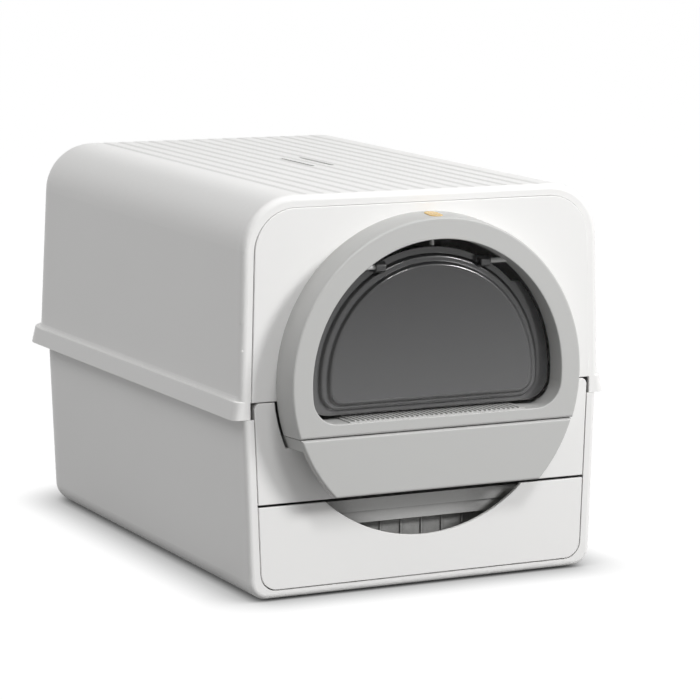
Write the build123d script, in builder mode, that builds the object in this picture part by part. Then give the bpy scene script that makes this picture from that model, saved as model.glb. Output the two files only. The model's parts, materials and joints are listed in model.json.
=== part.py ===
"""Drawer litter box: a tub-shaped base with two drawers, a lift-off hood and a swinging door flap.

Millimetres, +Z up. The front faces -Y and the plane X = 0 is the plane of symmetry.
The origin is the centre of the whole footprint, on the floor.
"""
from build123d import *
import math
import os

os.makedirs("parts", exist_ok=True)

# ---------------------------------------------------------------- overall sizes
body_depth = 604.0  # front face to the back of the hood's flange
rim_half_width = 191.2  # half width of the base at its rim
flange_overhang = 9.8  # the hood's flange stands out this far past the base's rim
ring_projection = 31.0  # the door ring stands out this far from the front face
wall = 3.0  # moulded shell walls
front_wall = 3.0  # front plates of the two drawers

# ---------------------------------------------------------------- clearances
seam = 1.0  # gap between neighbouring front pieces
drawer_seam = 2.6  # wider gap above the drawer front
rest_gap = 0.3  # a removable piece over what it rests on
slide_gap = 0.4  # a drawer over its runners
seat_gap = 0.05  # a pin in its bore, a screw in its hole, an inlay in its recess

# ---------------------------------------------------------------- heights of the front pieces
foot_height = 2.5
base_lip_height = 7.5  # front lip of the base, under the drawer front
drawer_front_height = 80.4
step_front_height = 97.5
rim_below_step_top = 1.0  # the base's rim lies this far under the step tray front's top
flange_cover = 14.0  # the hood's flange hangs this far down over the rim
flange_shelf = 3.2  # thickness of the hood's seat on the rim
hood_front_height = 193.5
roof_rise = 12.0  # the roof climbs this much from front to back

lip_top = foot_height + base_lip_height
drawer_low = lip_top + seam
drawer_top = drawer_low + drawer_front_height
step_low = drawer_top + drawer_seam
step_top = step_low + step_front_height
hood_front_low = step_top + seam
rim_z = step_top - rim_below_step_top
shelf_low = rim_z + rest_gap
flange_top = shelf_low + flange_shelf
flange_low = rim_z - flange_cover
roof_front_z = hood_front_low + hood_front_height

# ---------------------------------------------------------------- depth planes
front_y = (ring_projection - body_depth) / 2
back_y = front_y + body_depth
rim_back_y = back_y - flange_overhang
ring_face_y = front_y - ring_projection

# ---------------------------------------------------------------- base
base_draft = 2.0  # degrees, side walls
base_back_draft = 0.5  # degrees, back wall
base_round = 18.0  # lower edges
base_back_round = 71.0  # upright back edges
base_edge_round = 5.0  # outer edge of the front face
rim_lip = 3.0  # outward lip round the rim
rim_lip_height = 4.0
rim_lip_round = 4.0  # its front corners
opening_inset = 10.3  # the front opening's top is this much narrower than the rim on each side
opening_half_top = rim_half_width - opening_inset
opening_draft = 2.2  # degrees
opening_corner_round = 18.0
runner_width = 8.0  # ribs on the floor that carry the drawer
runner_inset = 71.2  # from the rim's side
runner_half_spacing = rim_half_width - runner_inset
ledge_width = 14.0  # shelf inside each wall that carries the step tray
ledge_height = 3.0

# ---------------------------------------------------------------- feet
foot_length = 42.0
foot_width = 12.0
foot_round = 5.0
middle_foot_inset = 31.2  # from the rim's side
middle_foot_x = rim_half_width - middle_foot_inset
corner_foot_side_inset = 51.2
corner_foot_x = rim_half_width - corner_foot_side_inset
corner_foot_inset = 64.0  # corner feet from the front and back faces
foot_overlap = 3.0  # the feet reach up this far and are trimmed to the base

# ---------------------------------------------------------------- litter drawer
pan_setback = 30.0  # pan's front wall behind the drawer front's face
pan_side_gap = 2.0  # pan rim to the side of the base's opening
pan_back_gap = 12.0  # pan rim to the base's back wall
pan_draft = 3.0
pan_round = 22.0
pan_back_round = 52.0
pan_wall = 2.5
pan_rim_drop = 3.5  # pan rim under the top of the drawer front
pan_rim_width = 6.0
pan_rim_front = 15.0  # the rim is wider in front, over the hand pocket
pan_rim_thickness = 2.6
pan_band_height = 12.0  # upper band of the rim's front skirt
pan_skirt_height = 24.0
pan_skirt_wall = 2.4
pan_band_step = 2.6  # the lower band of the skirt is set back this far
pan_rib_count = 6
pan_rib_pitch = 22.5
pan_rib_width = 1.6
pan_rib_depth = 1.2
drawer_edge_round = 0.8
drawer_corner_round = 17.0
post_diameter = 11.0  # posts between the drawer front and the pan
post_inset = 41.2  # from the rim's side
post_x = rim_half_width - post_inset
post_low_height = 22.0  # lower posts above the drawer front's lower edge
post_high_height = 46.0

# ---------------------------------------------------------------- door ring and chin grip
ring_above_hood_edge = 15.5  # ring's centre above the hood front's lower edge
ring_under_roof = 20.5  # ring's top under the upper edge of the hood's front
ring_radius = hood_front_height - ring_above_hood_edge - ring_under_roof
ring_face_inset = 3.2  # the ring's face is this much smaller in radius than its foot
ring_edge_round = 2.4
ring_band = 24.2  # ring's foot to the door opening
door_radius = ring_radius - ring_band
ring_flat_drop = 48.5  # flat lower end of the ring, below its centre
sill_drop = 36.5  # flat sill of the door opening, below the ring's centre
sill_corner_round = 26.0
door_edge_round = 1.2
ring_wall = 3.0
ring_gap = 2.3  # ring to the recess in the step tray front
sleeve_back = 3.0  # the sleeve round the opening ends this far behind the front face
rebate_step = 7.5  # the opening is wider behind the pins, where the flap's shoulders swing through
rebate_radius = door_radius + rebate_step
rebate_wall = 2.0
rebate_behind_pin = 4.3  # the wider part starts this far behind the pins' axis
stop_rib_width = 2.2
stop_rib_depth = 5.0
stop_rib_gap = 2.0  # rib over the flap's top edge

chin_block_height = 11.8
chin_drop = 107.3  # lower edge of the chin, below the ring's centre
chin_plate = 6.0
chin_wall = 3.0
chin_pocket_inset = 21.5  # the block is solid this far inside the ring's outline
chin_pocket_half = ring_radius - chin_pocket_inset
chin_boss_diameter = 9.0

panel_inset = 11.8  # hood front panel inside the hood's outer edge
panel_round = 42.0
panel_proud = 1.3
panel_thickness = 3.0
panel_gap = 0.5
panel_edge_round = 0.9
hood_front_wall = 4.5
panel_boss_diameter = 8.0
panel_screw_length = 4.6
panel_screw_low = (18.2, 25.0)  # inside the rim's side, above the hood front's lower edge
panel_screw_high = (41.2, 45.5)  # inside the rim's side, under the hood front's upper edge
washer_head_diameter = 12.0
sleeve_clearance = 0.2
wall_hole_radius = rebate_radius + rebate_wall + sleeve_clearance  # in the hood's front and its panel

retainer_thickness = 2.5
retainer_overlap = 8.5  # the retainer reaches this far outside the ring
retainer_outer = ring_radius + retainer_overlap
ring_screw_count = 6
ring_screw_inset = 8.0  # from the ring's foot
ring_screw_radius = ring_radius - ring_screw_inset
ring_screw_span = 172.0  # degrees of arc from the first ring screw to the last
ring_screw_length = 16.0
ring_boss_diameter = 8.4

# ---------------------------------------------------------------- hood
hood_side_out = 2.9  # hood's side outside the base's rim, just over the flange
hood_half_low = rim_half_width + hood_side_out
hood_draft = 1.6
hood_back_out = 1.4  # hood's back wall behind the base's rim
hood_back_draft = 4.4
hood_round = 52.0
hood_back_round = 54.0
hood_edge_round = 6.0
flange_slant = 3.2  # the flange's face leans out by this much towards its lower edge
flange_wall = 2.8
flange_end_gap = 2.5  # on the front face the flange ends this far outside the base's opening
flange_front_half = opening_half_top + flange_end_gap
flange_front_round = 8.0
flange_back_round = 50.0
flange_edge_round = 1.2
cove_height = 7.0  # hollow sweep between the hood's wall and the flange
cove_width = 3.0
cove_bury = 0.2  # its upper end lies this deep in the hood's wall
cove_steps = 4
groove_side_margin = 8.0  # no groove nearer than this to the roof's rounded sides
groove_pitch = 17.8
groove_width = 7.0
groove_depth = 1.3
groove_taper = 60.0  # degrees, lean of the grooves' sides
groove_front_margin = 5.0
groove_back_margin = 34.0
slot_spacing = 22.0  # each slot lies on the flat between two grooves
slot_length = 84.0
slot_width = 5.2
slot_setback = 272.0  # middle of the vent slots behind the front face

# ---------------------------------------------------------------- flap
flap_setback = 23.0  # flap's rim behind the ring's face
flap_thickness = 2.0
flap_side_gap = 2.6
flap_sill_gap = 4.5
flap_top_gap = 9.2  # above its shoulders the flap is cut back this far
pin_drop = 25.3  # pins under the top of the door opening
pin_height = door_radius - pin_drop
shoulder_drop = 22.0  # shoulders under the pins
shoulder_height = pin_height - shoulder_drop
pin_diameter = 5.0
pin_forward = 4.65  # pins in front of the flap's rim, over its centre of mass
pin_in_flap = 9.0
pin_in_ring = 9.0
pin_end_gap = 0.6
hub_diameter = 11.0
hub_length = 10.0
pin_boss_diameter = 11.0
pin_boss_length = 12.0
flap_corner_round = 24.0
bead_steps = 2
window_inset = 12.7  # window inside the flap's edge
window_foot = 4.0  # window above the flap's lower edge
window_corner_round = 20.0
bead_inset = 7.5  # the second step is this much smaller in radius
bead_foot = 5.0  # and starts this much higher
bead_rise = 4.0  # each step stands this much further forward
bead_slope = 32.0  # degrees, lean of the steps' walls
bead_edge_round = 3.0

# ---------------------------------------------------------------- step tray
step_depth = 150.0
panel_frame = 2.5  # rim round the back of the step tray front
panel_frame_depth = 14.0
step_corner_round = 6.0
grate_thickness = 3.0
grate_rim_height = 14.0
grate_rim_wall = 2.4
grate_side_gap = 1.2
grate_boss_diameter = 9.0
grate_slot_width = 9.0
grate_slot_length = 44.0
grate_columns = 14
grate_rows = 2
grate_pitch_x = 22.0
grate_pitch_y = 58.0
grate_screw_inset = 51.2  # outer screws from the rim's side
grate_screw_x = 50.0  # inner screws from the middle
chin_screw_inset = 47.5  # inside the ring's outline

# ---------------------------------------------------------------- deodoriser under the roof
holder_length = 128.0
holder_width = 64.0
holder_drop = 8.0  # holder's top edge under the roof's inner face
holder_wall = 2.0
holder_round = 6.0
holder_lug = 12.0
pad_thickness = 8.0
pad_gap = 0.3
cover_thickness = 2.0
cover_slot_count = 8
cover_slot_pitch = 14.0
cover_slot_width = 6.0
cover_slot_margin = 9.0
roof_boss_diameter = 9.0

# ---------------------------------------------------------------- screws, inlay and threshold
screw_diameter = 4.0
screw_head_diameter = 7.6
screw_head_height = 2.2
screw_length = 8.0
inlay_width = 14.0
inlay_length = 23.0
inlay_depth = 1.2
inlay_proud = 0.5
strip_thickness = 1.0
strip_front_margin = 2.0
strip_end_inset = 39.3  # strip's ends inside the door opening's radius
strip_half_length = door_radius - strip_end_inset
strip_rib_pitch = 5.2
strip_rib_width = 2.2
strip_rib_height = 1.2

# ---------------------------------------------------------------- places worked out from the sizes
ring_z = hood_front_low + ring_above_hood_edge
ring_low = ring_z - ring_flat_drop
sill_z = ring_z - sill_drop
chin_top = ring_low - seam
recess_low = chin_top - chin_block_height
chin_low = ring_z - chin_drop
floor_top = foot_height + wall
hood_face_y = front_y + panel_proud
hood_inner_y = hood_face_y + hood_front_wall
grate_low = step_low + panel_frame
ledge_top = grate_low - slide_gap
pan_low = lip_top + slide_gap
pan_top = drawer_top - pan_rim_drop
pan_front_y = front_y + pan_setback
flap_y = ring_face_y + flap_setback
pin_y = flap_y - pin_forward
pin_z = ring_z + pin_height
flap_low = sill_z + flap_sill_gap
sleeve_x_at_pin = math.sqrt(door_radius**2 - pin_height**2)
flap_x_at_pin = math.sqrt((door_radius - flap_top_gap) ** 2 - pin_height**2)
rebate_y = pin_y + rebate_behind_pin
sleeve_end_y = front_y + sleeve_back
TO_FRONT = (0, -1, 0)
UP = (0, 0, 1)


def tan(angle):
    return math.tan(math.radians(angle))


def opening_half(z):
    """Half width of the base's front opening at height z."""
    return opening_half_top - tan(opening_draft) * (step_top - z)


def base_half(z):
    """Outer half width of the base at height z."""
    return rim_half_width - tan(base_draft) * (rim_z - z)


def base_back(z):
    """Outer back of the base at height z."""
    return rim_back_y - tan(base_back_draft) * (rim_z - z)


def hood_half(z):
    """Outer half width of the hood at height z."""
    return hood_half_low - tan(hood_draft) * (z - flange_top)


def hood_back(z):
    """Outer back of the hood at height z."""
    return rim_back_y + hood_back_out - tan(hood_back_draft) * (z - flange_top)


roof_depth = hood_back(roof_front_z + roof_rise) - hood_face_y
roof_angle = math.degrees(math.atan(roof_rise / roof_depth))


def at_depth(y):
    """The plane that faces the front at depth y; its local y is world Z."""
    return Plane.XZ.offset(-y)


def roof_plane(y, drop):
    """The plane parallel to the roof, a drop under it, with its origin near depth y."""
    height = roof_front_z + (y - hood_face_y) * tan(roof_angle)
    return Plane(origin=(0, y, height), x_dir=(1, 0, 0)).rotated((roof_angle, 0, 0)).offset(-drop)


def tub(low, high, front, radius, back_radius, closed, tilt=0.0, edge_round=0.0):
    """A drafted box with an upright front; its closed end and its back are rounded.

    low and high give z, half width and back y of the two ends. closed is 0 for a closed bottom
    and -1 for a closed top. The top climbs towards the back by tilt degrees.
    """
    with BuildPart() as form:
        for (z, half, back), angle in ((low, 0.0), (high, tilt)):
            depth = (back - front) / math.cos(math.radians(angle))
            with BuildSketch(Plane(origin=(0, front, z), x_dir=(1, 0, 0)).rotated((angle, 0, 0))):
                with Locations((0, depth / 2)):
                    Rectangle(2 * half, depth)
        loft(ruled=True)
        back_edges = form.faces().sort_by(Axis.Y)[-1].edges().sort_by(Axis.X)
        fillet([back_edges[0], back_edges[-1]], back_radius)
        fillet(form.faces().sort_by(Axis.Z)[closed].edges().sort_by(Axis.Y)[1:], radius)
        if edge_round > 0:
            face_edges = form.faces().sort_by(Axis.Y)[0].edges().sort_by(Axis.Z)
            open_edge = face_edges[-1] if closed == 0 else face_edges[0]
            fillet([edge for edge in face_edges if edge is not open_edge], edge_round)
    return form.part


def plan_outline(z, half, front, back, front_round, back_round):
    """A rectangle seen from above, with rounded front and back corners."""
    with BuildSketch(Plane.XY.offset(z)) as outline:
        with Locations((0, (front + back) / 2)):
            Rectangle(2 * half, back - front)
        if front_round > 0:
            fillet(outline.vertices().group_by(Axis.Y)[0], front_round)
        fillet(outline.vertices().group_by(Axis.Y)[-1], back_round)
    return outline.sketch


def front_plate_outline(low, high):
    """The drafted outline of a piece that fills the base's front opening."""
    with BuildSketch() as outline:
        with BuildLine():
            Polyline(
                (-opening_half(low) + seam, low),
                (opening_half(low) - seam, low),
                (opening_half(high) - seam, high),
                (-opening_half(high) + seam, high),
                close=True,
            )
        make_face()
    return outline.sketch


def door_outline(radius, flat, corner):
    """A circle about the ring's centre, cut off at a flat lower edge with rounded corners."""
    with BuildSketch() as outline:
        with Locations((0, ring_z)):
            Circle(radius)
        with Locations((0, flat - radius)):
            Rectangle(4 * radius, 2 * radius, mode=Mode.SUBTRACT)
        if corner > 0:
            fillet(outline.vertices().group_by(Axis.Y)[0], corner)
    return outline.sketch


def across_pins(side, x):
    """The plane across the flap's pins, x from the middle on one side; it faces outwards."""
    return Plane(origin=(side * x, pin_y, pin_z), z_dir=(side, 0, 0))


def ring_cone(grow=0.0):
    """The drafted solid that the door ring and the chin grip are both cut from."""
    with BuildPart() as cone:
        with BuildSketch(at_depth(front_y)):
            with Locations((0, ring_z)):
                Circle(ring_radius + grow)
        extrude(amount=ring_projection, taper=math.degrees(math.atan(ring_face_inset / ring_projection)))
    return cone.part


def slab(low, high, front, back, half=1000.0):
    """A block between two heights and two depths, centred on X = 0."""
    with BuildPart() as block:
        with BuildSketch(Plane.XY.offset(low)):
            with Locations((0, (front + back) / 2)):
                Rectangle(2 * half, back - front)
        extrude(amount=high - low)
    return block.part


def screws(places, direction, length, head_diameter=screw_head_diameter):
    """Pan-head screws, one solid each; place is under the head, where the shank starts."""
    with BuildPart() as group:
        for place in places:
            seat = Plane(origin=place, z_dir=direction)
            with BuildSketch(seat):
                Circle(screw_diameter / 2)
            extrude(amount=length)
            with BuildSketch(seat):
                Circle(head_diameter / 2)
            extrude(amount=-screw_head_height)
    return group.part


def screw_holes(places, direction, length):
    """The holes for those screws: shank only."""
    with BuildPart() as holes:
        for place in places:
            with BuildSketch(Plane(origin=place, z_dir=direction)):
                Circle(screw_diameter / 2 + seat_gap)
            extrude(amount=length)
    return holes.part


# ================================================================ base
base_form = tub(
    (foot_height, base_half(foot_height), base_back(foot_height)),
    (rim_z, base_half(rim_z), base_back(rim_z)),
    front_y, base_round, base_back_round, 0, edge_round=base_edge_round,
)
base_cavity = tub(
    (floor_top, base_half(floor_top) - wall, base_back(floor_top) - wall),
    (rim_z + wall, base_half(rim_z + wall) - wall, base_back(rim_z + wall) - wall),
    front_y + front_wall, base_round - wall, base_back_round - wall, 0,
)
front_relief = panel_proud + flange_wall + seam
with BuildPart() as base_shell:
    add(base_form)
    # outward lip round the rim, under the hood's seat
    lip = plan_outline(
        rim_z - rim_lip_height, base_half(rim_z) + rim_lip, front_y + front_relief,
        base_back(rim_z) + rim_lip, rim_lip_round, hood_back_round,
    )
    extrude(lip, amount=rim_lip_height)
    add(base_cavity, mode=Mode.SUBTRACT)
    # front opening for the two drawers
    with BuildSketch(at_depth(front_y)) as opening:
        with BuildLine():
            Polyline(
                (-opening_half(lip_top), lip_top), (opening_half(lip_top), lip_top),
                (opening_half(rim_z + seam), rim_z + seam), (-opening_half(rim_z + seam), rim_z + seam),
                close=True,
            )
        make_face()
        fillet(opening.vertices().group_by(Axis.Y)[0], opening_corner_round)
    extrude(amount=-front_wall, mode=Mode.SUBTRACT)
    # the front corners are cut down under the ends of the hood's flange
    add(slab(flange_low - rest_gap, rim_z + seam, front_y, front_y + front_relief), mode=Mode.SUBTRACT)
    # runner ribs, level with the front lip
    with BuildSketch(Plane.XY.offset(floor_top)):
        runner_back = base_back(floor_top) - base_round
        with Locations(*[(side * runner_half_spacing, (front_y + front_wall + runner_back) / 2)
                         for side in (-1, 1)]):
            Rectangle(runner_width, runner_back - front_y - front_wall)
    extrude(amount=lip_top - floor_top)
    # shelves that carry the step tray, behind the frame of its front
    ledge_front = front_y + panel_frame_depth + seam
    ledge_back = front_y + step_depth
    for side in (-1, 1):
        ledge_inner = opening_half(step_low) - ledge_width
        ledge_outer = base_half(ledge_top) - wall / 2
        with BuildSketch(Plane.XY.offset(ledge_top - ledge_height)):
            with Locations((side * (ledge_inner + ledge_outer) / 2, (ledge_front + ledge_back) / 2)):
                Rectangle(ledge_outer - ledge_inner, ledge_back - ledge_front)
        extrude(amount=ledge_height)
base_shell.part.label = "base_shell"

foot_places = [(side * middle_foot_x, (front_y + base_back(foot_height)) / 2) for side in (-1, 1)]
foot_places += [
    (side * corner_foot_x, y) for side in (-1, 1)
    for y in (front_y + corner_foot_inset, base_back(foot_height) - corner_foot_inset)
]
with BuildPart() as rubber_feet:
    with BuildSketch():
        with Locations(*foot_places):
            RectangleRounded(foot_width, foot_length, foot_round)
    extrude(amount=foot_height + foot_overlap)
    add(base_form, mode=Mode.SUBTRACT)
rubber_feet.part.label = "rubber_feet"

# ================================================================ litter drawer
pan_rim_half = opening_half(pan_top) - pan_side_gap
pan_half = pan_rim_half - pan_rim_width
pan_back = base_back(pan_top) - wall - pan_back_gap - pan_rim_width
pan_drop = tan(pan_draft) * (pan_top - pan_low)
pan_floor = pan_low + pan_wall
pan_floor_in = tan(pan_draft) * (pan_top - pan_floor)
pan_form = tub(
    (pan_low, pan_half - pan_drop, pan_back - pan_drop), (pan_top, pan_half, pan_back),
    pan_front_y, pan_round, pan_back_round, 0,
)
pan_cavity = tub(
    (pan_floor, pan_half - pan_wall - pan_floor_in, pan_back - pan_wall - pan_floor_in),
    (pan_top + pan_wall, pan_half - pan_wall + tan(pan_draft) * pan_wall,
     pan_back - pan_wall + tan(pan_draft) * pan_wall),
    pan_front_y + pan_wall, pan_round - pan_wall, pan_back_round - pan_wall, 0,
)
post_places = [
    (side * post_x, pan_front_y + pan_wall, drawer_low + height)
    for side in (-1, 1) for height in (post_low_height, post_high_height)
]
skirt_y = pan_front_y - pan_rim_front
with BuildPart() as litter_pan:
    add(pan_form)
    rim = plan_outline(
        pan_top - pan_rim_thickness, pan_rim_half, skirt_y, pan_back + pan_rim_width,
        pan_rim_width, pan_back_round + pan_rim_width,
    )
    extrude(rim, amount=pan_rim_thickness)
    # the front of the rim turns down in two bands
    skirt_half = pan_rim_half - pan_rim_width
    add(slab(pan_top - pan_band_height, pan_top, skirt_y, skirt_y + pan_skirt_wall, skirt_half))
    add(slab(pan_top - pan_skirt_height, pan_top, skirt_y + pan_band_step,
             skirt_y + pan_band_step + pan_skirt_wall, skirt_half))
    # upright ribs on the front wall, seen through the hand pocket
    with BuildSketch(Plane.XY.offset(pan_low)):
        with Locations((0, pan_front_y)):
            with GridLocations(pan_rib_pitch, 1, pan_rib_count, 1):
                Rectangle(pan_rib_width, 2 * pan_rib_depth)
    extrude(amount=pan_top - pan_low - pan_rim_thickness)
    add(pan_cavity, mode=Mode.SUBTRACT)
    add(screw_holes(post_places, TO_FRONT, screw_length), mode=Mode.SUBTRACT)
litter_pan.part.label = "litter_pan"

post_depth = pan_setback - front_wall
with BuildPart() as drawer_front:
    with BuildSketch(at_depth(front_y)) as plate:
        add(front_plate_outline(drawer_low, drawer_top))
        fillet(plate.vertices().group_by(Axis.Y)[0], drawer_corner_round)
        with Locations((0, ring_z)):
            Circle(ring_radius, mode=Mode.SUBTRACT)
    extrude(amount=-front_wall)
    fillet(drawer_front.faces().sort_by(Axis.Y)[0].edges(), drawer_edge_round)
    with BuildSketch(at_depth(front_y + front_wall)):
        with Locations(*[(place[0], place[2]) for place in post_places]):
            Circle(post_diameter / 2)
    extrude(amount=-post_depth)
    add(screw_holes(post_places, TO_FRONT, screw_length), mode=Mode.SUBTRACT)
drawer_front.part.label = "drawer_front"

with BuildPart() as drawer_screws:
    add(screws(post_places, TO_FRONT, screw_length))
drawer_screws.part.label = "drawer_screws"

# ================================================================ step tray
recess_radius = ring_radius + ring_gap
with BuildSketch(at_depth(front_y)) as step_face:
    add(front_plate_outline(step_low, step_top))
    fillet(step_face.vertices().group_by(Axis.Y)[-1], step_corner_round)
    add(door_outline(recess_radius, recess_low, 0), mode=Mode.SUBTRACT)
with BuildSketch(at_depth(front_y + front_wall)) as step_frame:
    add(front_plate_outline(step_low, step_top))
    fillet(step_frame.vertices().group_by(Axis.Y)[-1], step_corner_round)
    add(door_outline(recess_radius, recess_low, 0), mode=Mode.SUBTRACT)
    offset(amount=-panel_frame, kind=Kind.INTERSECTION, mode=Mode.SUBTRACT)
grate_front_y = front_y + panel_frame_depth
grate_screw_y = grate_front_y + grate_rim_wall
grate_screw_z = grate_low + grate_thickness + screw_head_diameter / 2 + seam
grate_screw_end = rim_half_width - grate_screw_inset
grate_screw_xs = (-grate_screw_end, -grate_screw_x, grate_screw_x, grate_screw_end)
chin_screw_xs = (chin_screw_inset - ring_radius, 0.0, ring_radius - chin_screw_inset)
grate_screw_places = [(x, grate_screw_y, grate_screw_z) for x in grate_screw_xs]
chin_screw_y = front_y + (front_wall + panel_frame_depth) / 2
chin_screw_places = [(x, chin_screw_y, recess_low - panel_frame) for x in chin_screw_xs]
with BuildPart() as step_tray_front:
    extrude(step_face.sketch, amount=-front_wall)
    fillet(step_tray_front.faces().sort_by(Axis.Y)[0].edges(), drawer_edge_round)
    extrude(step_frame.sketch, amount=front_wall - panel_frame_depth)
    with BuildSketch(at_depth(front_y + front_wall)):
        with Locations(*[(place[0], place[2]) for place in grate_screw_places]):
            Circle(grate_boss_diameter / 2)
    extrude(amount=front_wall - panel_frame_depth)
    add(screw_holes(grate_screw_places, TO_FRONT, screw_length), mode=Mode.SUBTRACT)
    add(screw_holes(chin_screw_places, UP, screw_length), mode=Mode.SUBTRACT)
step_tray_front.part.label = "step_tray_front"

# the grip: a hollow block in the recess under the ring, whose front hangs down as a plate
chin_pocket_front = ring_face_y + chin_plate
with BuildPart() as chin_grip:
    add(ring_cone(-seam))
    add(slab(chin_low, chin_top, ring_face_y, front_y), mode=Mode.INTERSECT)
    fillet(chin_grip.faces().sort_by(Axis.Y)[0].edges(), ring_edge_round)
    add(slab(chin_low, recess_low, chin_pocket_front, front_y), mode=Mode.SUBTRACT)
    with BuildSketch(at_depth(front_y)):
        add(door_outline(ring_radius - seam, recess_low, 0))
        with Locations((0, chin_top + ring_radius)):
            Rectangle(4 * ring_radius, 2 * ring_radius, mode=Mode.SUBTRACT)
    extrude(amount=-panel_frame_depth)
    add(slab(recess_low, chin_top - chin_wall, chin_pocket_front, front_y + panel_frame_depth - chin_wall,
             chin_pocket_half), mode=Mode.SUBTRACT)
    with BuildSketch(Plane.XY.offset(recess_low)):
        with Locations(*[(x, chin_screw_y) for x in chin_screw_xs]):
            Circle(chin_boss_diameter / 2)
    extrude(amount=chin_block_height - chin_wall)
    add(screw_holes(chin_screw_places, UP, screw_length), mode=Mode.SUBTRACT)
chin_grip.part.label = "chin_grip"

# sieve platform on the base's shelves, with a low rim all round
grate_half = opening_half(grate_low) - seam - grate_side_gap
grate_back_y = front_y + step_depth
with BuildPart() as step_grate:
    with BuildSketch(Plane.XY.offset(grate_low)):
        with Locations((0, (grate_front_y + grate_back_y) / 2)):
            Rectangle(2 * grate_half, grate_back_y - grate_front_y)
    extrude(amount=grate_rim_height)
    with BuildSketch(Plane.XY.offset(grate_low + grate_thickness)):
        with Locations((0, (grate_front_y + grate_back_y) / 2)):
            Rectangle(
                2 * (grate_half - grate_rim_wall), grate_back_y - grate_front_y - 2 * grate_rim_wall,
            )
    extrude(amount=grate_rim_height, mode=Mode.SUBTRACT)
    with BuildSketch(Plane.XY.offset(grate_low)):
        with Locations((0, (grate_front_y + grate_back_y) / 2)):
            with GridLocations(grate_pitch_x, grate_pitch_y, grate_columns, grate_rows):
                SlotOverall(grate_slot_length, grate_slot_width, rotation=90)
    extrude(amount=grate_thickness, mode=Mode.SUBTRACT)
    add(screw_holes(grate_screw_places, TO_FRONT, screw_length), mode=Mode.SUBTRACT)
step_grate.part.label = "step_grate"

with BuildPart() as grate_screws:
    add(screws(grate_screw_places, TO_FRONT, screw_length))
grate_screws.part.label = "grate_screws"

with BuildPart() as chin_screws:
    add(screws(chin_screw_places, UP, screw_length))
chin_screws.part.label = "chin_screws"

# ================================================================ hood
ring_screw_places = [
    (ring_screw_radius * math.cos(angle), hood_inner_y + retainer_thickness,
     ring_z + ring_screw_radius * math.sin(angle))
    for angle in [
        math.radians(90 + ring_screw_span * (index / (ring_screw_count - 1) - 0.5))
        for index in range(ring_screw_count)
    ]
]
panel_screw_places = [
    (side * (rim_half_width - inset), hood_inner_y, z) for side in (-1, 1)
    for inset, z in (
        (panel_screw_low[0], hood_front_low + panel_screw_low[1]),
        (panel_screw_high[0], roof_front_z - panel_screw_high[1]),
    )
]
holder_y = front_y + slot_setback
lug_places = [(0, side * (holder_length + holder_lug) / 2) for side in (-1, 1)]
holder_top = roof_plane(holder_y, wall + holder_drop)
lug_screw_places = [
    tuple((holder_top.offset(-holder_wall) * Pos(x, y)).position) for x, y in lug_places
]
roof_up = tuple(holder_top.z_dir)


def flange_outline(z, inset):
    """The flange from above at height z; it leans out towards its lower edge."""
    lean = flange_slant * (z - flange_low) / (flange_top - flange_low)
    return plan_outline(
        z, rim_half_width + flange_overhang - lean - inset, hood_face_y + inset,
        back_y - lean - inset, flange_front_round - inset, flange_back_round - inset,
    )


def cove_outline(angle):
    """The hood's wall from above where it sweeps out to the flange; 90 degrees is the upper end."""
    z = flange_top + cove_height * (1 - math.cos(math.radians(angle)))
    out = cove_width * (1 - math.sin(math.radians(angle))) - cove_bury
    return plan_outline(
        z, hood_half(z) + out, hood_face_y + cove_bury, hood_back(z) + out,
        hood_edge_round + 2 * out, hood_back_round + out,
    )


def hood_panel_outline(grow):
    """The outline of the front panel, with the round hole for the door; grow is for its recess."""
    high = roof_front_z - panel_inset
    half_low = hood_half(hood_front_low) - panel_inset + grow
    half_high = hood_half(high) - panel_inset + grow
    with BuildSketch() as outline:
        with BuildLine():
            Polyline(
                (-half_low, hood_front_low), (half_low, hood_front_low),
                (half_high, high + grow), (-half_high, high + grow), close=True,
            )
        make_face()
        fillet(outline.vertices().group_by(Axis.Y)[-1], panel_round + grow)
        with Locations((0, ring_z)):
            Circle(wall_hole_radius, mode=Mode.SUBTRACT)
    return outline.sketch


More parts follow.
